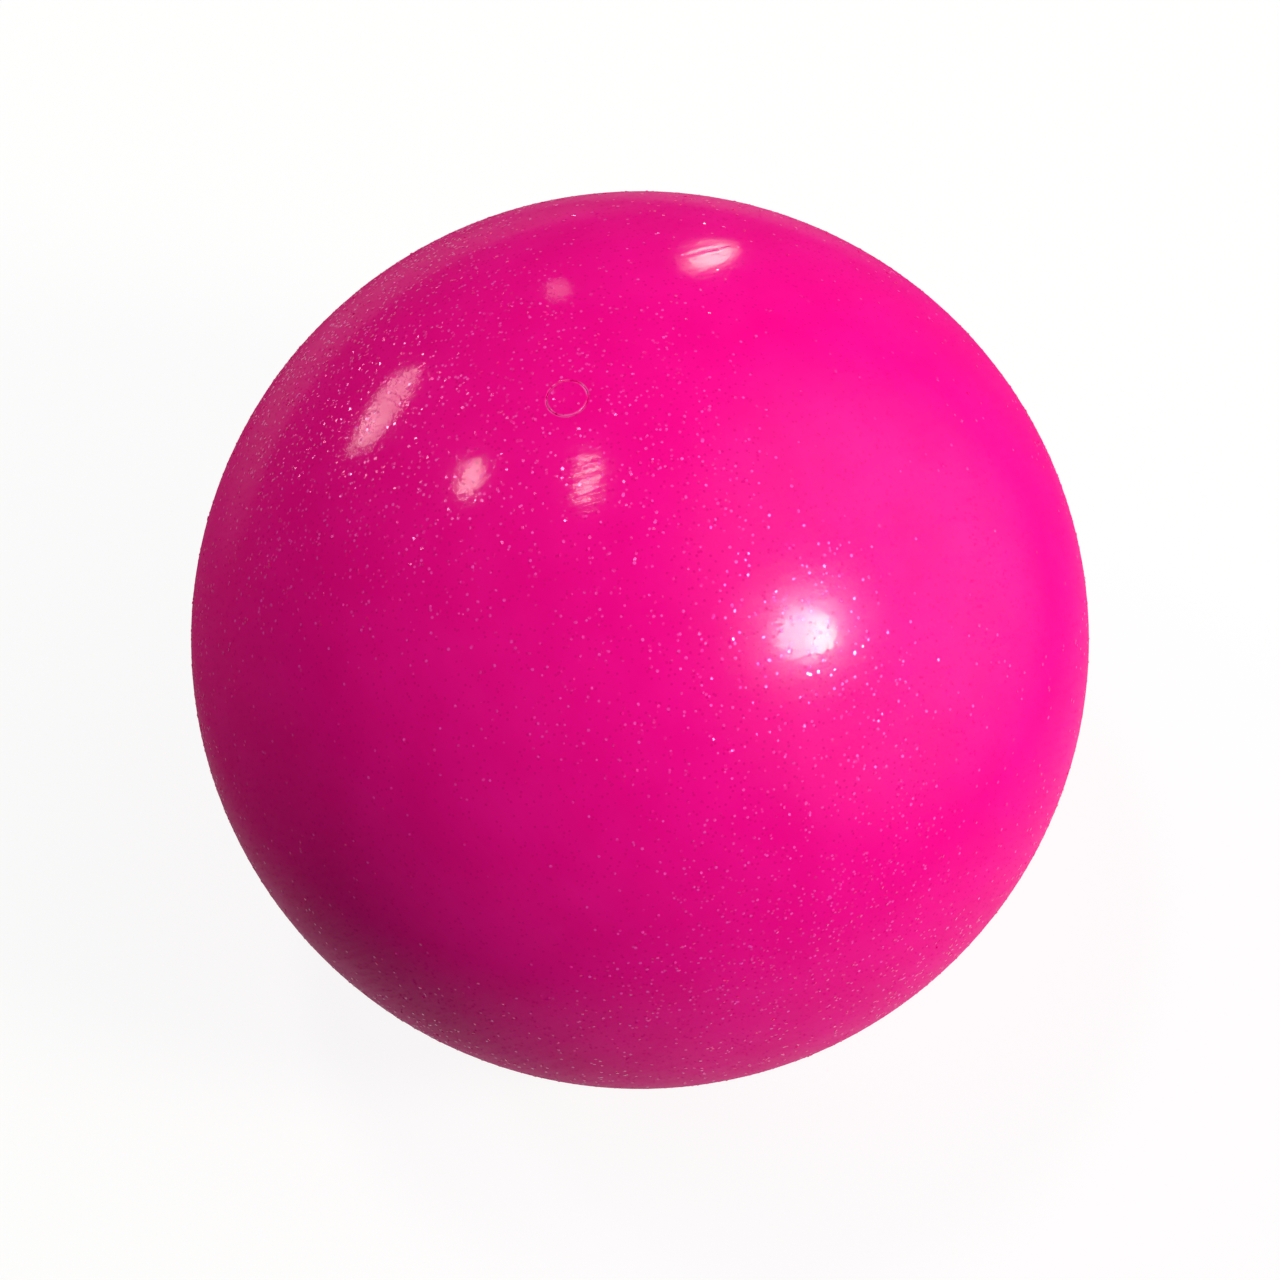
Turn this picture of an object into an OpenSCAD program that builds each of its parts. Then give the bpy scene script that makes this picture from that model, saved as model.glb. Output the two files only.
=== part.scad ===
// Rhythmic gymnastics ball: a hollow moulded ball under a glossy glitter coat, with a needle
// valve that a small flush plug closes.
// Sizes are in millimetres. The origin is the centre of the ball, and +Z runs out along the valve.

/* [Ball] */
// Outside diameter of the inflated ball
ball_d = 185; // [150:1:200]
// Thickness of the glitter coat
coat_t = 0.4; // [0.2:0.1:0.8]
// Thickness of the moulded wall under the coat
wall_t = 2.9; // [2:0.1:4]

/* [Valve] */
// Diameter of the stem where it passes through the wall
stem_d = 10.4; // [10:0.2:14]
// Depth of the stem's inner end below the surface of the ball
stem_depth = 20; // [19.5:0.5:26]
// Diameter of the stem's flange, which is bonded inside the ball
flange_d = 22; // [18:0.5:26]
// Thickness of the flange beside the stem
flange_t = 1.2; // [1.2:0.1:2]
// Diameter of the patch that strengthens the wall round the valve
patch_d = 36; // [30:1:50]
// Thickness of the patch
patch_t = 1.2; // [0.8:0.1:2]
// Diameter of the mouth that takes the plug's shank
mouth_d = 4; // [3.6:0.1:5]
// Diameter of the self-sealing core
core_d = 6; // [5.6:0.1:7]
// Length of the core
core_len = 8; // [6:0.5:8]
// Diameter of the hole for an inflation needle
needle_hole_d = 2.1; // [2:0.1:2.4]

/* [Plug] */
// Diameter of the plug's head, flush with the ball
head_d = 8; // [7:0.1:8.8]
// Thickness of the head at its middle
head_t = 1.5; // [1.2:0.1:1.8]
// Length of the shank below the head
shank_len = 7; // [6:0.5:7.5]
// Number of sealing ribs on the shank
rib_count = 3; // [1:1:3]

/* [Hidden] */
$fn = 128;

// Film of cement between pieces that are bonded together
bond_t = 0.02;
// Gap round the plug's head, under it, and round its sealing ribs
head_gap = 0.15;
seat_gap = 0.05;
rib_gap = 0.04;
// Bevel on the lip of the coat and on the edge of the head
edge_bevel = 0.2;
// Cutting tools run this far past the faces that they cut
cut_over = 1;

// Radii of the layers, from the outside in
ball_r = ball_d / 2;
coat_in_r = ball_r - coat_t;
body_out_r = coat_in_r - bond_t;
body_in_r = body_out_r - wall_t;
patch_out_r = body_in_r - bond_t;
patch_in_r = patch_out_r - patch_t;
flange_out_r = patch_in_r - bond_t;

// The wall and the patch are open round the stem, and the seat is open round the plug's head
stem_hole_d = stem_d + 2 * bond_t;
seat_d = head_d + 2 * head_gap;

// Heights down the valve, from the seat of the plug to the inner end of the stem
tip_gap = 0.5;
seat_z = ball_r - head_t;
core_top_z = seat_z - shank_len - tip_gap;
core_end_z = core_top_z - core_len;
stem_end_z = ball_r - stem_depth;
flange_z = sphere_height(flange_out_r, stem_d / 2) - flange_t;

// The stem narrows at its inner end, and air leaves through a hole there
stem_taper = 0.9;
stem_taper_h = 2;
air_hole_d = 3.2;

// The core has two sealing collars with a waist between them, and a funnel that guides the needle
core_out_r = core_d / 2 - bond_t;
core_waist = 0.4;
collar_h = 2;
funnel_h = 1;
funnel_grow = 0.8;

// The plug's shank, its ribs and its tapered tip
rib_r = mouth_d / 2 - rib_gap;
rib_rise = 0.12;
shank_r = rib_r - rib_rise;
rib_flank = 0.25;
rib_land = 0.4;
tip_taper = 0.6;
tip_taper_h = 1;
head_z = seat_z + seat_gap;
tip_z = head_z - shank_len;
rib_pitch = (shank_len - tip_taper_h) / (rib_count + 1);

// Height of a sphere's surface above its equator, at radius r from the axis
function sphere_height(sphere_r, r) = sqrt(sphere_r * sphere_r - r * r);

// Outline of one rib's flanks and land, from its lower end up, in radius and height
function rib_outline(z) = [
    [shank_r, z - rib_land / 2 - rib_flank],
    [rib_r, z - rib_land / 2],
    [rib_r, z + rib_land / 2],
    [shank_r, z + rib_land / 2 + rib_flank],
];

module hollow_sphere(outer_r, inner_r) {
    difference() {
        sphere(r = outer_r);
        sphere(r = inner_r);
    }
}

// A round post on the valve axis, from one height to another
module post(d, from_z, to_z) {
    translate([0, 0, from_z])
        cylinder(d = d, h = to_z - from_z);
}

// The glossy outer coat, with the flakes of glitter in it, open over the seat of the plug
module glitter_coat() {
    lip_z = sphere_height(ball_r, seat_d / 2) - edge_bevel;
    bevel_h = edge_bevel + cut_over;
    color("deeppink")
    difference() {
        hollow_sphere(ball_r, coat_in_r);
        post(seat_d, seat_z, ball_r + cut_over);
        translate([0, 0, lip_z])
            cylinder(d1 = seat_d, d2 = seat_d + 2 * bevel_h, h = bevel_h);
    }
}

// The moulded ball itself: one seamless hollow wall with a hole for the stem
module ball_body() {
    color("mediumvioletred")
    difference() {
        hollow_sphere(body_out_r, body_in_r);
        post(stem_hole_d, 0, ball_r + cut_over);
    }
}

// A round patch bonded to the inside of the wall, which spreads the pull of the valve
module valve_patch() {
    color("palevioletred")
    difference() {
        intersection() {
            hollow_sphere(patch_out_r, patch_in_r);
            post(patch_d, 0, ball_r);
        }
        post(stem_hole_d, 0, ball_r);
    }
}

// The rubber stem: a seat for the plug on top, a flange under the patch, and a chamber for the core
module valve_stem() {
    color("hotpink")
    difference() {
        union() {
            intersection() {
                sphere(r = body_out_r);
                post(stem_d, stem_end_z + stem_taper_h, ball_r);
            }
            intersection() {
                sphere(r = flange_out_r);
                post(flange_d, flange_z, ball_r);
            }
            translate([0, 0, stem_end_z])
                cylinder(d1 = stem_d - 2 * stem_taper, d2 = stem_d, h = stem_taper_h);
        }
        post(seat_d, seat_z, ball_r);
        post(mouth_d, core_top_z - cut_over, seat_z + cut_over);
        post(core_d, core_end_z, core_top_z);
        post(air_hole_d, stem_end_z - cut_over, core_end_z + cut_over);
    }
}

// The self-sealing core that an inflation needle is pushed through
module valve_core() {
    low_z = core_end_z + bond_t;
    high_z = core_top_z - bond_t;
    waist_r = core_out_r - core_waist;
    color("dimgray")
    difference() {
        rotate_extrude()
            polygon([
                [0, low_z],
                [core_out_r, low_z],
                [core_out_r, low_z + collar_h],
                [waist_r, low_z + collar_h + core_waist],
                [waist_r, high_z - collar_h - core_waist],
                [core_out_r, high_z - collar_h],
                [core_out_r, high_z],
                [0, high_z],
            ]);
        post(needle_hole_d, low_z - cut_over, high_z + cut_over);
        translate([0, 0, high_z - funnel_h])
            cylinder(d1 = needle_hole_d, d2 = needle_hole_d + 2 * funnel_grow, h = funnel_h);
    }
}

// The stopper: a domed head that carries on the curve of the ball, and a ribbed shank
module valve_plug() {
    head_r = head_d / 2;
    edge_z = sphere_height(ball_r, head_r) - edge_bevel;
    bevel_h = edge_bevel + cut_over;
    color("deeppink")
    intersection() {
        sphere(r = ball_r);
        rotate_extrude()
            polygon(concat(
                [[0, tip_z], [shank_r - tip_taper, tip_z], [shank_r, tip_z + tip_taper_h]],
                [for (i = [1:rib_count], p = rib_outline(tip_z + tip_taper_h + i * rib_pitch)) p],
                [[shank_r, head_z], [head_r, head_z], [head_r, edge_z]],
                [[head_r - bevel_h, edge_z + bevel_h], [0, edge_z + bevel_h]]
            ));
    }
}

glitter_coat();
ball_body();
valve_patch();
valve_stem();
valve_core();
valve_plug();
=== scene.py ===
"""Looks of the rhythmic gymnastics ball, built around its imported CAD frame."""

import math
from collections import namedtuple

import bpy
import numpy as np
from mathutils import Matrix, Vector, noise


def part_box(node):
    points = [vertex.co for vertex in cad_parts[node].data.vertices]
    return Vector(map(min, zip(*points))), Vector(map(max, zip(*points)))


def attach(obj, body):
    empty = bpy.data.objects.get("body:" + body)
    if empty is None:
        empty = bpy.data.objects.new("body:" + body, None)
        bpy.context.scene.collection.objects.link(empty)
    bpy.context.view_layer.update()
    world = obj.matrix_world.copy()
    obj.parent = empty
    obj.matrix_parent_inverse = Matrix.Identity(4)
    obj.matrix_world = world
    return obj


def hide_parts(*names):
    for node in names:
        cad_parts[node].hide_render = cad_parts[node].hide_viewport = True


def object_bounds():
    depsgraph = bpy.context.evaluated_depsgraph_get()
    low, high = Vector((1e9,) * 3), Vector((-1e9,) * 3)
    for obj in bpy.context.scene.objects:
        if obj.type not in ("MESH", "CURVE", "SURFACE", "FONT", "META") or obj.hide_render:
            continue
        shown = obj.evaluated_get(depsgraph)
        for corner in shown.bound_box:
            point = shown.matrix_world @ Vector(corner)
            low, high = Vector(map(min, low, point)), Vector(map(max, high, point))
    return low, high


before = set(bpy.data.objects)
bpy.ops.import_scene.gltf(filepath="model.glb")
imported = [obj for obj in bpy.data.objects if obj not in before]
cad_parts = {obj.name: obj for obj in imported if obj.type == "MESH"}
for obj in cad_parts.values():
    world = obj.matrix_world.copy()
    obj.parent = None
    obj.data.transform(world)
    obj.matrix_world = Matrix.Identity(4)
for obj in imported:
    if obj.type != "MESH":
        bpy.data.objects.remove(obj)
cad_low, cad_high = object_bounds()

MM = 0.001

# Sizes from the CAD frame, in metres
ball_r = (cad_high.z - cad_low.z) / 2
plug_low, plug_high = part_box("valve_plug")
head_r = plug_high.x

# Sizes of the coat and the plug that the CAD boxes don't show
COAT_T = 0.4 * MM
LIP_GAP = 0.06 * MM
EDGE_ROUND = 0.22 * MM
HEAD_T = 1.45 * MM
SHANK_R = 1.84 * MM
RIB_R = 1.96 * MM
RIB_COUNT = 3
RIB_HALF = 0.45 * MM
TIP_TAPER_R = 0.6 * MM
TIP_TAPER_H = 1.0 * MM
seat_r = head_r + LIP_GAP

# How finely the meshes are divided. The rings of the coat crowd together towards the valve.
COAT_RINGS = 200
COAT_INNER_RINGS = 40
COAT_SEGMENTS = 256
RING_CROWDING = 1.6
PLUG_SEGMENTS = 96
DOME_STEPS = 12
EDGE_STEPS = 8
RIB_STEPS = 8

# The moulded surface is slightly wavy, in layers that get finer and shallower, and calmer near the valve
WAVE_HEIGHT = 0.03 * MM
WAVE_LENGTH = 22 * MM
WAVE_FALL = 1.0
WAVE_SPLIT = 2.0
WAVE_LAYERS = 3
calm_r = 4 * seat_r

# The photograph's frame, and how wide the ball is in its middle
FRAME_PIXELS = 1280
BALL_PIXELS = 898

# The camera looks down on the valve, turned so that the valve lies left of straight up
CAMERA_DISTANCE = 1.0
CAMERA_ELEVATION = math.radians(58.6)
CAMERA_ROLL = math.radians(-16.8)
SENSOR_WIDTH = 36.0
focal_pixels = BALL_PIXELS / 2 / math.tan(math.asin(ball_r / CAMERA_DISTANCE))

# Colours of the light
KEY_WHITE = (1.0, 0.98, 0.84)
HOT_WHITE = (1.0, 0.98, 0.5)
WARM_WHITE = (0.95, 0.9, 0.82)
BACK_WHITE = (1.0, 0.9, 0.72)
ROOM_WHITE = (0.9, 0.95, 1.0)

# The highlights in the photograph, each made by a lamp: the pixel at its middle, its length and width
# in pixels, how many degrees its length slants up to the right, the lamp's radiance and colour, and
# whether the lamp shows only in the gloss, without lighting the colour under it
Highlight = namedtuple(
    "Highlight",
    "pixel length width slant radiance colour gloss_only",
    defaults=[False],
)
HIGHLIGHTS = {
    "key_lamp": Highlight((804, 633), 58, 50, 0, 30, KEY_WHITE),
    "key_hot_spot": Highlight((822, 637), 28, 34, 0, 31, HOT_WHITE, True),
    "left_lamp": Highlight((385, 407), 100, 26, 50, 11.4, WARM_WHITE),
    "left_lamp_tail": Highlight((364, 432), 60, 15, 50, 6.6, WARM_WHITE),
    "upper_left_lamp": Highlight((470, 478), 40, 20, 62, 29.5, WARM_WHITE),
    "top_lamp": Highlight((588, 479), 50, 28, 81, 30, WARM_WHITE),
    "faint_lamp": Highlight((558, 290), 24, 22, 0, 3.5, WARM_WHITE, True),
}

# Highlights with a soft edge, each made of rings that grow and dim from one to the next by these shares
Glow = namedtuple("Glow", "first rings growth fall")
GLOWS = {
    "key_glow": Glow(Highlight((809, 628), 68, 68, 0, 5.8, ROOM_WHITE, True), 7, 1.16, 0.72),
    "back_glow": Glow(Highlight((709, 256), 38, 19, 8, 7.5, BACK_WHITE, True), 4, 1.2, 0.8),
}

# The lamps stand one behind another, because light that meets two at one place counts only one of them.
# Those that the gloss mirrors stand nearer, where the floor doesn't hide any part of them.
LAMP_DISTANCE = 2.5
GLOSS_LAMP_DISTANCE = 0.6
LAMP_STEP = 0.01

# The thin gloss sees the lamps and the room this many times brighter than the colour under it does
GLOSS_GAIN = 2.8

# The dim room and its lighter side, which the ball mirrors round a pixel. It is even out to the first
# angle from its middle and fades out by the second. The floor carries it on, as it looks from that
# height above the floor.
ROOM_LIGHT = 0.06
SIDE_LIGHT = 1.8
SIDE_PIXEL = (874, 590)
SIDE_INNER = math.radians(12)
SIDE_OUTER = math.radians(60)
SIDE_HEIGHT = 0.15

# The floor, which is white to the camera
FLOOR_HALF_WIDTH = 12.0
FLOOR_GREY = (0.14, 0.14, 0.14)
FLOOR_ROUGHNESS = 0.9
FLOOR_GLOW = 0.88

# Round places on the floor: the middle of each, and the distances from it between which it fades.
# The pool throws light on the ball's colour, and the mirrored places look white in its gloss.
Place = namedtuple("Place", "middle near far")
POOL = Place((0.1, -0.09, 0), 0.08, 0.42)
POOL_GLOW = 0.5
MIRRORED_PLACES = (
    Place((-0.01, -0.06, 0), 0.12, 0.23),
    Place((-0.17, 0.5, 0), 0.18, 0.34),
    Place((0.07, 0.25, 0), 0.04, 0.12),
)

# Colours of the coat, as linear red, green and blue
PINK = (0.98, 0.004, 0.29)
PINK_DEEP = (0.94, 0.002, 0.265)
PINK_DUSTY = (0.82, 0.004, 0.23)
# Paler pink for the plug's edge: a painted highlight of its rounded lip catching light, with wear
PINK_WORN_AND_SHEEN = (0.95, 0.13, 0.50)

# Finish of the coat. A range is the part of a noise, which runs from 0 to 1, that makes the whole change.
BASE_ROUGHNESS = 0.45
COAT_WEIGHT = 0.12
COAT_IOR = 1.5
COAT_ROUGHNESS = 0.1
MOTTLE_SIZE = 14 * MM
MOTTLE_RANGE = (0.35, 0.65)
PEEL_SIZE = 5 * MM
PEEL_DEPTH = 0.02 * MM
PIT_SIZE = 1.2 * MM
PIT_DEPTH = 0.02 * MM
DUST_SPACING = 1.3 * MM
DUST_R = 0.32 * MM
DUST_CORE = 0.7

# Painted highlight with patchy wear along the plug's edge: full out to the first distance, gone by the
# second
WEAR_SHEEN_INNER = 0.1 * MM
WEAR_SHEEN_OUTER = 0.4 * MM
WEAR_SHEEN_SIZE = 2.5 * MM
WEAR_SHEEN_RANGE = (0.4, 0.6)

# Hair-fine scratches, slanted in the photograph, and deeper round the scuffed pixels
SCRATCH_SLANT = math.radians(18)
SCRATCH_WIDTH = 0.8 * MM
SCRATCH_LENGTH = 10 * MM
SCRATCH_DEPTH = 0.04 * MM
SCRATCH_RANGE = (0.42, 0.55)
SCRATCH_LEAST = 0.25
SCRATCH_DULLING = 0.75
SCUFFED_PIXELS = ((588, 479), (711, 256))
SCUFF_INNER = 3 * MM
SCUFF_OUTER = 9 * MM

# The two sorts of flake: how many there are, and the colour, refractive index and roughness of their glint
FlakeSort = namedtuple("FlakeSort", "count glint ior roughness")
FLAKE_SORTS = {
    "rose": FlakeSort(14800, (1.0, 0.25, 0.8), 1.32, 0.3),
    "lilac": FlakeSort(9200, (0.85, 0.45, 1.0), 1.5, 0.25),
}

# Paleness, shape and lie of the flakes, which are low pyramids sunk into the coat
PEARL = (1.0, 0.085, 0.58)
PALE_SIZE = 1 * MM
PALE_RANGE = (0.44, 0.8)
FLAKE_SIDES = 6
FLAKE_R = 0.32 * MM
FLAKE_SPREAD = (0.75, 1.15)
FLAKE_DEPTH = 0.12 * MM
FLAKE_LIFT = 0.01 * MM
FLAKE_TILT = math.radians(7)
FLAKE_SEED = 7

# Places in the photograph where little glitter shows: the pixel at the middle of each, how wide it is
# in degrees, from its bare middle to its edge, and the share of the flakes that its middle keeps
SPARSE_PLACES = (
    ((930, 400), 20, 42, 0.05),
    ((340, 860), 24, 42, 0.1),
    ((530, 900), 8, 20, 0.15),
    ((1050, 680), 18, 38, 0.1),
    ((680, 220), 14, 34, 0.15),
    ((620, 680), 10, 42, 0.4),
    ((640, 1080), 16, 32, 0.2),
    ((205, 560), 8, 26, 0.3),
    ((925, 975), 14, 30, 0.4),
)

# Colour and roughness of the rubber pieces inside the ball
RUBBERS = {
    "ball_body": ((0.62, 0.008, 0.18), 0.45),
    "valve_patch": ((0.45, 0.02, 0.16), 0.7),
    "valve_stem": ((0.70, 0.008, 0.20), 0.4),
    "valve_core": ((0.03, 0.028, 0.03), 0.6),
}
RUBBER_SPECULAR = 0.3
RUBBER_MOTTLE_SIZE = 4 * MM
RUBBER_MOTTLE_RANGE = (0.3, 0.7)
RUBBER_DARKENING = 0.75
RUBBER_UNEVENNESS = 0.08
GRAIN_SIZE = 0.3 * MM
GRAIN_DEPTH = 0.01 * MM


# Camera

def view_axes():
    """The camera's right, up and back directions, as the columns of a matrix."""
    tilt = Matrix.Rotation(math.pi / 2 - CAMERA_ELEVATION, 3, "X")
    return tilt @ Matrix.Rotation(CAMERA_ROLL, 3, "Z")


def make_camera():
    """The camera, with a lens that shows the ball as wide as in the photograph."""
    data = bpy.data.cameras.new("camera")
    data.sensor_width = SENSOR_WIDTH
    data.lens = focal_pixels / FRAME_PIXELS * SENSOR_WIDTH
    camera = bpy.data.objects.new("camera", data)
    axes = view_axes()
    camera.matrix_world = Matrix.Translation(axes @ Vector((0, 0, CAMERA_DISTANCE))) @ axes.to_4x4()
    bpy.context.collection.objects.link(camera)
    bpy.context.scene.camera = camera


def sight_line(pixel):
    """The direction in which the camera looks at a pixel, in the camera's axes."""
    x = pixel[0] - FRAME_PIXELS / 2
    y = FRAME_PIXELS / 2 - pixel[1]
    return Vector((x, y, -focal_pixels)).normalized()


def ball_normal(pixel):
    """The outward direction of the ball's surface where it shows at a pixel, in the camera's axes."""
    sight = sight_line(pixel)
    eye = Vector((0, 0, CAMERA_DISTANCE))
    nearest = -eye.dot(sight)
    miss = (eye + nearest * sight).length
    depth = nearest - math.sqrt(ball_r ** 2 - miss ** 2)
    return (eye + depth * sight) / ball_r


def ball_point(pixel):
    """The point of the ball that shows at a pixel."""
    return view_axes() @ ball_normal(pixel) * ball_r


def mirror_direction(pixel):
    """The direction that the ball mirrors towards the camera at a pixel."""
    return view_axes() @ sight_line(pixel).reflect(ball_normal(pixel))


# Shader nodes

class Nodes:
    """The node tree of a material or of the world, with short calls for the nodes that are used here."""

    def __init__(self, owner, shader, coordinates):
        owner.use_nodes = True
        self.owner = owner
        self.tree = owner.node_tree
        self.shader = self.tree.nodes[shader]
        self.place = self.add("ShaderNodeTexCoord").outputs[coordinates]

    def add(self, kind, **settings):
        """A new node, with attributes set by name."""
        node = self.tree.nodes.new(kind)
        for key, value in settings.items():
            setattr(node, key, value)
        return node

    def link(self, source, target):
        """A link from a node's output to another node's input."""
        self.tree.links.new(source, target)

    def set(self, **values):
        """Constant values on the shader's own sockets, with _ for a space in the socket's name."""
        for key, value in values.items():
            self.shader.inputs[key.replace("_", " ")].default_value = value

    def drive(self, socket, source):
        """A changing value on one of the shader's own sockets."""
        self.link(source, self.shader.inputs[socket])

    def noise(self, size, detail, turn=(0, 0, 0)):
        """Noise with features of about that size in metres, one number or three along turned axes."""
        sizes = size if isinstance(size, tuple) else (size, size, size)
        mapping = self.add("ShaderNodeMapping", vector_type="TEXTURE")
        mapping.inputs["Scale"].default_value = sizes
        mapping.inputs["Rotation"].default_value = turn
        self.link(self.place, mapping.inputs["Vector"])
        texture = self.add("ShaderNodeTexNoise")
        texture.inputs["Scale"].default_value = 1.0
        texture.inputs["Detail"].default_value = detail
        self.link(mapping.outputs["Vector"], texture.inputs["Vector"])
        return texture.outputs["Fac"]

    def calculate(self, operation, first, second=0.0):
        """A Math node on a socket and on a second socket or number."""
        node = self.add("ShaderNodeMath", operation=operation)
        self.link(first, node.inputs[0])
        if isinstance(second, float):
            node.inputs[1].default_value = second
        else:
            self.link(second, node.inputs[1])
        return node.outputs[0]

    def larger(self, first, second):
        """The larger of two sockets."""
        return self.calculate("MAXIMUM", first, second)

    def times(self, first, second):
        """The product of two sockets."""
        return self.calculate("MULTIPLY", first, second)

    def ramp(self, value, low, high, to_low=0.0, to_high=1.0, smooth=False):
        """The value, mapped from low and high to two new ends, and held there outside."""
        node = self.add("ShaderNodeMapRange", interpolation_type="SMOOTHSTEP" if smooth else "LINEAR")
        node.inputs["From Min"].default_value = low
        node.inputs["From Max"].default_value = high
        node.inputs["To Min"].default_value = to_low
        node.inputs["To Max"].default_value = to_high
        self.link(value, node.inputs["Value"])
        return node.outputs[0]

    def for_gloss(self, others, glossy):
        """One number for the rays that a gloss mirrors, and another for all other rays."""
        path = self.add("ShaderNodeLightPath")
        return self.ramp(path.outputs["Is Glossy Ray"], 0, 1, others, glossy)

    def mix_colours(self, factor, first, second):
        """A colour between two, each a socket or a fixed colour."""
        node = self.add("ShaderNodeMix", data_type="RGBA")
        self.link(factor, node.inputs["Factor"])
        for colour, end in ((first, node.inputs["A"]), (second, node.inputs["B"])):
            if isinstance(colour, bpy.types.NodeSocket):
                self.link(colour, end)
            else:
                end.default_value = (*colour, 1)
        return node.outputs["Result"]

    def specks(self, spacing, radius, core):
        """Scattered round specks: 1 in the core, that share of the radius, falling to 0 at the edge."""
        cells = self.add("ShaderNodeTexVoronoi")
        cells.inputs["Scale"].default_value = 1 / spacing
        self.link(self.place, cells.inputs["Vector"])
        edge = radius / spacing
        return self.ramp(cells.outputs["Distance"], core * edge, edge, 1, 0)

    def vector(self, operation, first, second=(0, 0, 0)):
        """A Vector Math node on a socket and a fixed vector, with its one output that is in use."""
        node = self.add("ShaderNodeVectorMath", operation=operation)
        self.link(first, node.inputs[0])
        node.inputs[1].default_value = second
        return next(output for output in node.outputs if output.enabled)

    def distance(self, point):
        """The distance of the surface from a point of the object, in metres."""
        return self.vector("DISTANCE", self.place, point)

    def inside(self, place):
        """1 inside a round place, fading to 0 outside it."""
        return self.ramp(self.distance(place.middle), place.near, place.far, 1, 0)

    def bump(self, height, depth, below=None):
        """A bump of that depth in metres, on top of another bump's normal if one is given."""
        node = self.add("ShaderNodeBump")
        node.inputs["Strength"].default_value = 1.0
        node.inputs["Distance"].default_value = depth
        self.link(height, node.inputs["Height"])
        if below is not None:
            self.link(below, node.inputs["Normal"])
        return node.outputs["Normal"]


def surface(name):
    """The nodes of a new material, in the coordinates of the object that it is on."""
    return Nodes(bpy.data.materials.new(name), "Principled BSDF", "Object")


# Lights and stage

def make_lamp(name, highlight, distance, gloss):
    """A soft lamp that the ball mirrors as that highlight, for its gloss or for the colour under it."""
    x, y = highlight.pixel
    slant = math.radians(highlight.slant)
    start = ball_point(highlight.pixel)
    middle = mirror_direction(highlight.pixel)
    facing = middle.to_track_quat("Z", "Y").to_matrix()
    edges = []
    for reach, angle in ((highlight.length / 2, slant), (highlight.width / 2, slant + math.pi / 2)):
        pixel = (x + reach * math.cos(angle), y - reach * math.sin(angle))
        aside = facing.transposed() @ (ball_point(pixel) - start)
        ray = facing.transposed() @ mirror_direction(pixel)
        edges.append((aside + ray * (distance - aside.z) / ray.z).xy)
    axes, half_sizes, _ = np.linalg.svd(np.array(edges).T)
    data = bpy.data.lights.new(name, "AREA")
    data.shape = "ELLIPSE"
    data.size, data.size_y = 2 * half_sizes
    data.color = highlight.colour
    area = math.pi / 4 * data.size * data.size_y
    radiance = highlight.radiance * (GLOSS_GAIN if gloss else 1)
    data.energy = radiance * math.pi * area
    lamp = bpy.data.objects.new(name, data)
    turn = Matrix.Rotation(math.atan2(axes[1, 0], axes[0, 0]), 4, "Z")
    lamp.matrix_world = Matrix.Translation(start + middle * distance) @ facing.to_4x4() @ turn
    lamp.visible_camera = False
    lamp.visible_glossy = gloss
    lamp.visible_diffuse = not gloss
    bpy.context.collection.objects.link(lamp)


def glow_rings(name, glow):
    """The highlights that together make a soft one, by name."""
    rings = {}
    for i in range(glow.rings):
        growth = glow.growth ** i
        rings[f"{name}_{i}"] = glow.first._replace(
            length=glow.first.length * growth,
            width=glow.first.width * growth,
            radiance=glow.first.radiance * glow.fall ** i,
        )
    return rings


def room_light(nodes, direction):
    """How bright the room is in a direction from the ball: dim, with one lighter side."""
    towards_side = nodes.vector("DOT_PRODUCT", direction, mirror_direction(SIDE_PIXEL))
    edge, even = math.cos(SIDE_OUTER), math.cos(SIDE_INNER)
    light = nodes.ramp(towards_side, edge, even, ROOM_LIGHT, SIDE_LIGHT, smooth=True)
    return nodes.times(light, nodes.for_gloss(1, GLOSS_GAIN))


def make_lights():
    """The lamps, with their soft glows, and the room."""
    lamps = dict(HIGHLIGHTS)
    for name, glow in GLOWS.items():
        lamps.update(glow_rings(name, glow))
    for i, (name, highlight) in enumerate(lamps.items()):
        make_lamp(name + "_gloss", highlight, GLOSS_LAMP_DISTANCE + i * LAMP_STEP, True)
        if not highlight.gloss_only:
            make_lamp(name, highlight, LAMP_DISTANCE + i * LAMP_STEP, False)
    world = bpy.data.worlds.new("room")
    nodes = Nodes(world, "Background", "Generated")
    nodes.set(Color=(*ROOM_WHITE, 1))
    nodes.drive("Strength", room_light(nodes, nodes.place))
    bpy.context.scene.world = world


def make_floor():
    """A wide floor that looks white, shows the ball's shadow, and carries on the room's lighter side."""
    bpy.ops.mesh.primitive_plane_add(size=2 * FLOOR_HALF_WIDTH, location=(0, 0, cad_low.z))
    floor = bpy.context.object
    floor.name = "floor"
    nodes = surface("floor")
    nodes.set(Base_Color=(*FLOOR_GREY, 1), Roughness=FLOOR_ROUGHNESS, Specular_IOR_Level=0.0)
    nodes.set(Emission_Color=(1, 1, 1, 1))
    path = nodes.add("ShaderNodeLightPath")
    direct = nodes.larger(path.outputs["Is Camera Ray"], path.outputs["Is Transmission Ray"])
    from_height = nodes.vector("ADD", nodes.place, (0, 0, -SIDE_HEIGHT))
    side = room_light(nodes, nodes.vector("NORMALIZE", from_height))
    glow = nodes.larger(nodes.ramp(direct, 0, 1, 0, FLOOR_GLOW), side)
    glow = nodes.larger(glow, nodes.times(nodes.inside(POOL), nodes.for_gloss(POOL_GLOW, 0)))
    for place in MIRRORED_PLACES:
        glow = nodes.larger(glow, nodes.times(nodes.inside(place), nodes.for_gloss(0, FLOOR_GLOW)))
    nodes.drive("Emission Strength", glow)
    floor.data.materials.append(nodes.owner)


# Materials

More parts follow.
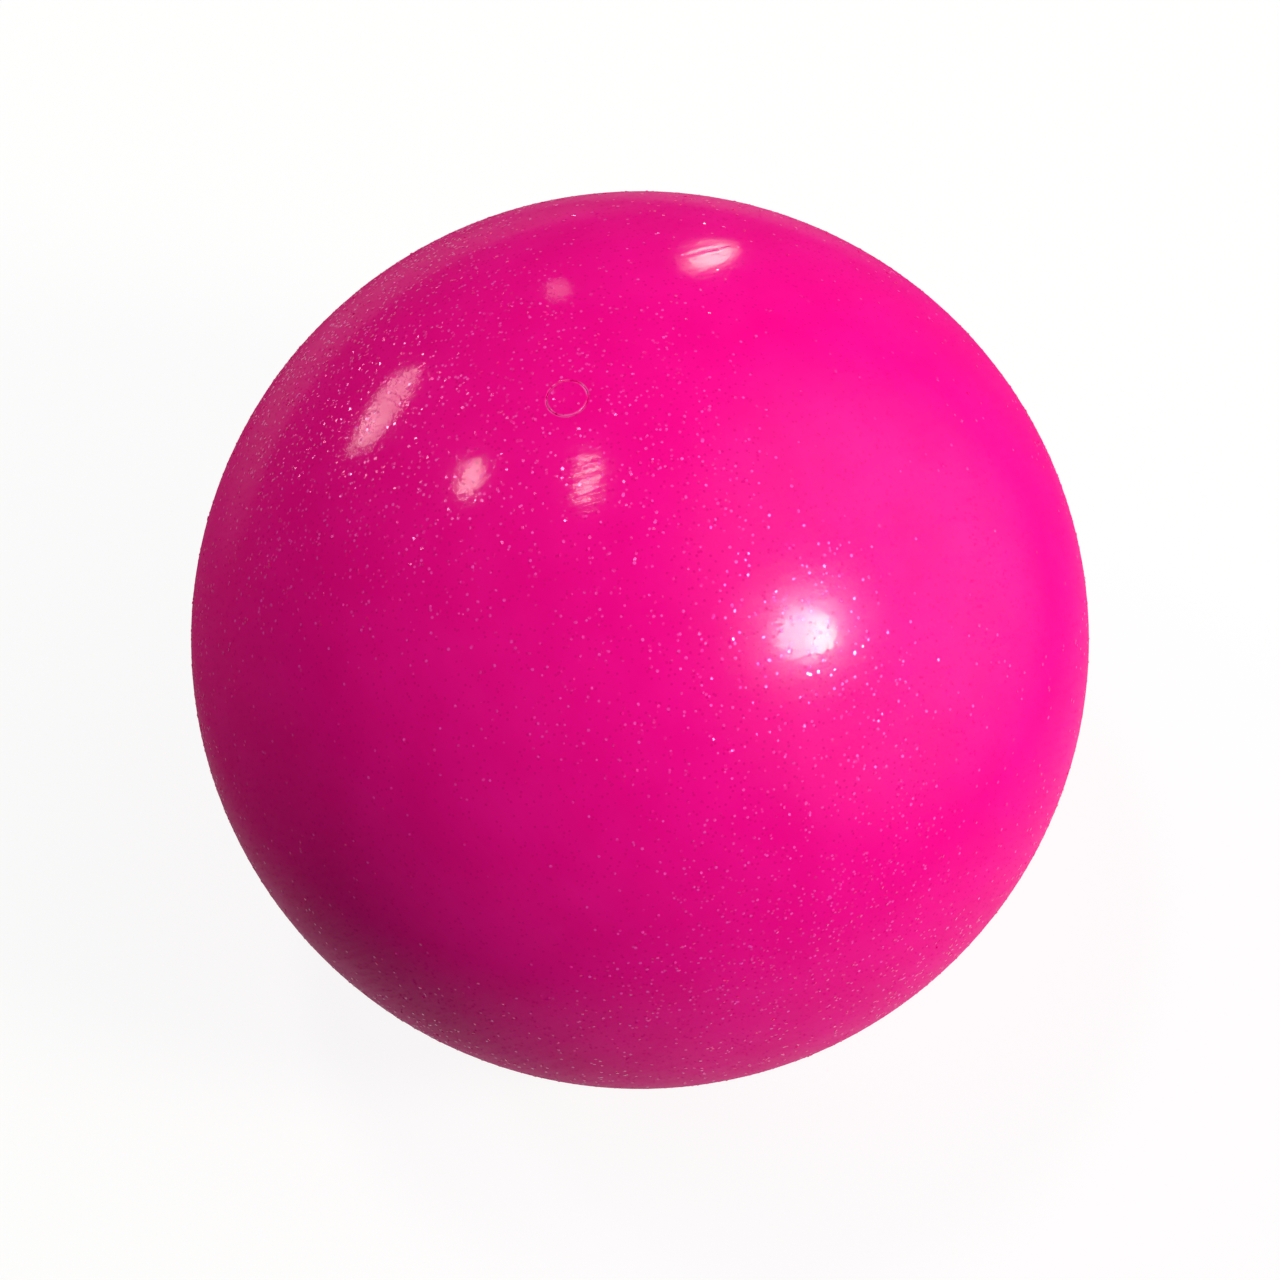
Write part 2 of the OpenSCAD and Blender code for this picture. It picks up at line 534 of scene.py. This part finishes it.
def scratch_lines(nodes):
    """Hair-fine scratches, as a height from 0 to 1, and how strong they are: most in the scuffed places."""
    turn = (view_axes() @ Matrix.Rotation(SCRATCH_SLANT + math.pi / 2, 3, "Z")).to_euler()
    lines = nodes.noise((SCRATCH_WIDTH, SCRATCH_LENGTH, SCRATCH_LENGTH), detail=1, turn=turn)
    nearest = None
    for pixel in SCUFFED_PIXELS:
        away = nodes.distance(ball_point(pixel))
        nearest = away if nearest is None else nodes.calculate("MINIMUM", nearest, away)
    strength = nodes.ramp(nearest, SCUFF_INNER, SCUFF_OUTER, 1, SCRATCH_LEAST)
    return lines, strength


def gloss_material(name):
    """Hot pink moulded gloss, faintly mottled, with a slightly uneven skin, dust, fine scratches, and a
    painted highlight with patchy wear along the plug's edge.
    """
    nodes = surface(name)
    nodes.set(Roughness=BASE_ROUGHNESS, Specular_IOR_Level=0.0)
    nodes.set(Coat_Roughness=COAT_ROUGHNESS, Coat_IOR=COAT_IOR)
    mottle = nodes.ramp(nodes.noise(MOTTLE_SIZE, detail=4), *MOTTLE_RANGE)
    moulded = nodes.mix_colours(mottle, PINK_DEEP, PINK)
    # A painted highlight along the plug's edge, patchy like wear, mixed into the colour
    from_edge = nodes.calculate("SUBTRACT", nodes.distance((0, 0, ball_r)), head_r)
    edge = nodes.ramp(nodes.calculate("ABSOLUTE", from_edge), WEAR_SHEEN_INNER, WEAR_SHEEN_OUTER, 1, 0)
    patches = nodes.ramp(nodes.noise(WEAR_SHEEN_SIZE, detail=2), *WEAR_SHEEN_RANGE)
    worn_and_sheen = nodes.mix_colours(nodes.times(edge, patches), moulded, PINK_WORN_AND_SHEEN)
    dust = nodes.specks(DUST_SPACING, DUST_R, DUST_CORE)
    nodes.drive("Base Color", nodes.mix_colours(dust, worn_and_sheen, PINK_DUSTY))
    lines, strength = scratch_lines(nodes)
    scratched = nodes.times(nodes.ramp(lines, *SCRATCH_RANGE, SCRATCH_DULLING, 0), strength)
    dull = nodes.larger(dust, scratched)
    nodes.drive("Coat Weight", nodes.ramp(dull, 0, 1, COAT_WEIGHT, 0))
    peel = nodes.bump(nodes.noise(PEEL_SIZE, detail=1), PEEL_DEPTH)
    pitting = nodes.bump(nodes.noise(PIT_SIZE, detail=2), PIT_DEPTH, below=peel)
    scratches = nodes.bump(nodes.times(lines, strength), SCRATCH_DEPTH, below=pitting)
    nodes.drive("Coat Normal", scratches)
    return nodes.owner


def flake_material(name, sort):
    """Pearly film over the pink: hardly paler than the coat on most flakes, and far paler on a few."""
    nodes = surface(name)
    nodes.set(Roughness=sort.roughness, IOR=sort.ior, Specular_Tint=(*sort.glint, 1))
    paleness = nodes.ramp(nodes.noise(PALE_SIZE, detail=0), *PALE_RANGE)
    nodes.drive("Base Color", nodes.mix_colours(paleness, PINK, PEARL))
    return nodes.owner


def rubber_material(name, colour, roughness):
    """Moulded rubber: a mottled colour and a fine grain."""
    nodes = surface(name)
    nodes.set(Specular_IOR_Level=RUBBER_SPECULAR)
    mottle = nodes.noise(RUBBER_MOTTLE_SIZE, detail=4)
    darker = [RUBBER_DARKENING * c for c in colour]
    nodes.drive("Base Color", nodes.mix_colours(mottle, darker, colour))
    smoothest, roughest = roughness - RUBBER_UNEVENNESS, roughness + RUBBER_UNEVENNESS
    nodes.drive("Roughness", nodes.ramp(mottle, *RUBBER_MOTTLE_RANGE, smoothest, roughest))
    nodes.drive("Normal", nodes.bump(nodes.noise(GRAIN_SIZE, detail=2), GRAIN_DEPTH))
    return nodes.owner


# Meshes

def mesh_piece(name, points, faces, smooth):
    """A new object from points and faces."""
    mesh = bpy.data.meshes.new(name)
    mesh.from_pydata(points, [], faces)
    mesh.polygons.foreach_set("use_smooth", [smooth] * len(mesh.polygons))
    mesh.update()
    piece = bpy.data.objects.new(name, mesh)
    bpy.context.collection.objects.link(piece)
    return piece


def lathe(name, profile, segments):
    """A surface of revolution about Z from (radius, height) points. Points at radius 0 close it."""
    points = []
    rings = []
    for radius, height in profile:
        count = segments if radius > 0 else 1
        rings.append(range(len(points), len(points) + count))
        for i in range(count):
            angle = 2 * math.pi * i / segments
            points.append((radius * math.cos(angle), radius * math.sin(angle), height))
    faces = []
    for lower, upper in zip(rings, rings[1:]):
        for i in range(segments):
            corners = [
                lower[i % len(lower)],
                lower[(i + 1) % len(lower)],
                upper[(i + 1) % len(upper)],
                upper[i % len(upper)],
            ]
            faces.append(list(dict.fromkeys(corners)))
    return mesh_piece(name, points, faces, smooth=True)


def arc(centre, radius, start, end, steps):
    """Points on an arc in the radius and height plane, with both ends."""
    angles = [start + (end - start) * i / steps for i in range(steps + 1)]
    return [(centre[0] + radius * math.cos(a), centre[1] + radius * math.sin(a)) for a in angles]


def rounding_centre(radius):
    """The centre of a rounded edge, that far from the axis, which runs smoothly into the ball."""
    return radius, math.sqrt((ball_r - EDGE_ROUND) ** 2 - radius ** 2)


def coat_profile():
    """The coat's outline: up the outside, round the lip of the valve seat, and back down inside."""
    lip = rounding_centre(seat_r + EDGE_ROUND)
    lip_angle = math.atan2(lip[1], lip[0])
    outside = []
    for i in range(COAT_RINGS, 0, -1):
        angle = lip_angle - (lip_angle + math.pi / 2) * (i / COAT_RINGS) ** RING_CROWDING
        outside.append((ball_r * math.cos(angle), ball_r * math.sin(angle)))
    outside[0] = (0.0, -ball_r)
    inner_r = ball_r - COAT_T
    inner_top = math.atan2(math.sqrt(inner_r ** 2 - seat_r ** 2), seat_r)
    inside = arc((0, 0), inner_r, inner_top, -math.pi / 2, COAT_INNER_RINGS)
    inside[-1] = (0.0, -inner_r)
    return outside + arc(lip, EDGE_ROUND, lip_angle, math.pi, EDGE_STEPS) + inside


def unevenness(point):
    """How far a point of the moulded surface lies above or below a true sphere."""
    near_valve = min(1.0, (point.angle(Vector((0, 0, 1))) * ball_r) / calm_r)
    waves = noise.fractal(point / WAVE_LENGTH, WAVE_FALL, WAVE_SPLIT, WAVE_LAYERS)
    return WAVE_HEIGHT * near_valve * waves


def make_coat():
    """The glossy shell of the ball, open over the valve."""
    coat = lathe("coat_skin", coat_profile(), COAT_SEGMENTS)
    for vertex in coat.data.vertices:
        if vertex.co.length > ball_r - COAT_T / 2:
            vertex.co += vertex.co.normalized() * unevenness(vertex.co)
    coat.data.materials.append(gloss_material("coat_gloss"))
    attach(coat, "ball")
    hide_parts("glitter_coat")


def plug_profile():
    """The stopper's outline: its tapered tip, the ribs on its shank, and its head with a rounded rim."""
    tip_z = plug_low.z
    head_z = ball_r - HEAD_T
    taper_z = tip_z + TIP_TAPER_H
    pitch = (head_z - taper_z) / (RIB_COUNT + 1)
    outline = [(0.0, tip_z), (SHANK_R - TIP_TAPER_R, tip_z), (SHANK_R, taper_z)]
    for i in range(1, RIB_COUNT + 1):
        middle = taper_z + i * pitch
        for step in range(RIB_STEPS + 1):
            share = 2 * step / RIB_STEPS - 1
            swell = (1 + math.cos(math.pi * share)) / 2
            outline.append((SHANK_R + (RIB_R - SHANK_R) * swell, middle + RIB_HALF * share))
    outline.append((SHANK_R, head_z))
    outline.append((head_r - EDGE_ROUND / 2, head_z))
    outline.append((head_r, head_z + EDGE_ROUND / 2))
    rim = rounding_centre(head_r - EDGE_ROUND)
    rim_angle = math.atan2(rim[1], rim[0])
    outline += arc(rim, EDGE_ROUND, 0, rim_angle, EDGE_STEPS)
    dome = arc((0, 0), ball_r, rim_angle, math.pi / 2, DOME_STEPS)[1:]
    dome[-1] = (0.0, ball_r)
    return outline + dome


def make_plug():
    """The stopper of the valve."""
    plug = lathe("plug_moulding", plug_profile(), PLUG_SEGMENTS)
    plug.data.materials.append(gloss_material("plug_gloss"))
    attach(plug, "plug")
    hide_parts("valve_plug")


# Glitter

def unit(vectors):
    """Each row of an array, scaled to a length of 1."""
    return vectors / np.linalg.norm(vectors, axis=1)[:, None]


def scatter(rng, count):
    """Random directions all over the ball, thinned out where little glitter settled."""
    found = np.zeros((0, 3))
    while len(found) < count:
        tries = unit(rng.normal(size=(count, 3)))
        keep = np.ones(count)
        for pixel, bare_deg, edge_deg, share in SPARSE_PLACES:
            middle = np.array(view_axes() @ ball_normal(pixel))
            away = np.degrees(np.arccos(np.clip(tries @ middle, -1, 1)))
            t = np.clip((away - bare_deg) / (edge_deg - bare_deg), 0, 1)
            keep *= share + (1 - share) * t * t * (3 - 2 * t)
        found = np.concatenate([found, tries[rng.random(count) < keep]])
    return found[:count]


def make_flakes(name, rng, directions, material, body):
    """Six-sided flakes that lie nearly flat on the ball, as low closed pyramids sunk into the coat."""
    count = len(directions)
    side = unit(np.cross(directions, rng.normal(size=(count, 3))))
    tilt = rng.normal(scale=FLAKE_TILT, size=(count, 1))
    normal = np.cos(tilt) * directions + np.sin(tilt) * side
    u = unit(np.cross(normal, rng.normal(size=(count, 3))))
    v = np.cross(normal, u)
    radius = FLAKE_R * rng.uniform(*FLAKE_SPREAD, size=(count, 1))
    lift = radius * np.abs(np.sin(tilt)) / 2 + FLAKE_LIFT
    ground = np.array([[unevenness(Vector(d) * ball_r)] for d in directions])
    centre = directions * (ball_r + ground + lift)
    corners = []
    for i in range(FLAKE_SIDES):
        angle = 2 * math.pi * i / FLAKE_SIDES
        corners.append(centre + radius * (math.cos(angle) * u + math.sin(angle) * v))
    corners.append(centre - FLAKE_DEPTH * normal)
    points = np.stack(corners, axis=1).reshape(-1, 3)
    faces = []
    for start in range(0, len(points), FLAKE_SIDES + 1):
        apex = start + FLAKE_SIDES
        faces.append(range(start, apex))
        for i in range(FLAKE_SIDES):
            faces.append((start + (i + 1) % FLAKE_SIDES, start + i, apex))
    flakes = mesh_piece(name, points.tolist(), faces, smooth=False)
    flakes.data.materials.append(material)
    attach(flakes, body)


def make_glitter():
    """The flakes of each sort, on the coat and on the plug's head, with none over the gap between them."""
    rng = np.random.default_rng(FLAKE_SEED)
    seat_edge = math.cos((seat_r + EDGE_ROUND + FLAKE_R) / ball_r)
    head_edge = math.cos((head_r - EDGE_ROUND - FLAKE_R) / ball_r)
    for sort_name, sort in FLAKE_SORTS.items():
        name = "glitter_" + sort_name
        material = flake_material(sort_name + "_flake", sort)
        directions = scatter(rng, sort.count)
        height = directions[:, 2]
        make_flakes(name, rng, directions[height < seat_edge], material, "ball")
        if np.any(height > head_edge):
            make_flakes(name + "_on_plug", rng, directions[height > head_edge], material, "plug")


def finish_cad_nodes():
    """Rubber finishes for the CAD pieces that stay as they are, inside the ball."""
    for node, (colour, roughness) in RUBBERS.items():
        part = node.split("_")[1]
        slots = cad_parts[node].data.materials
        slots.clear()
        slots.append(rubber_material(part + "_rubber", colour, roughness))


make_camera()
make_lights()
make_floor()
make_coat()
make_plug()
make_glitter()
finish_cad_nodes()
bpy.context.scene.view_settings.view_transform = "Standard"
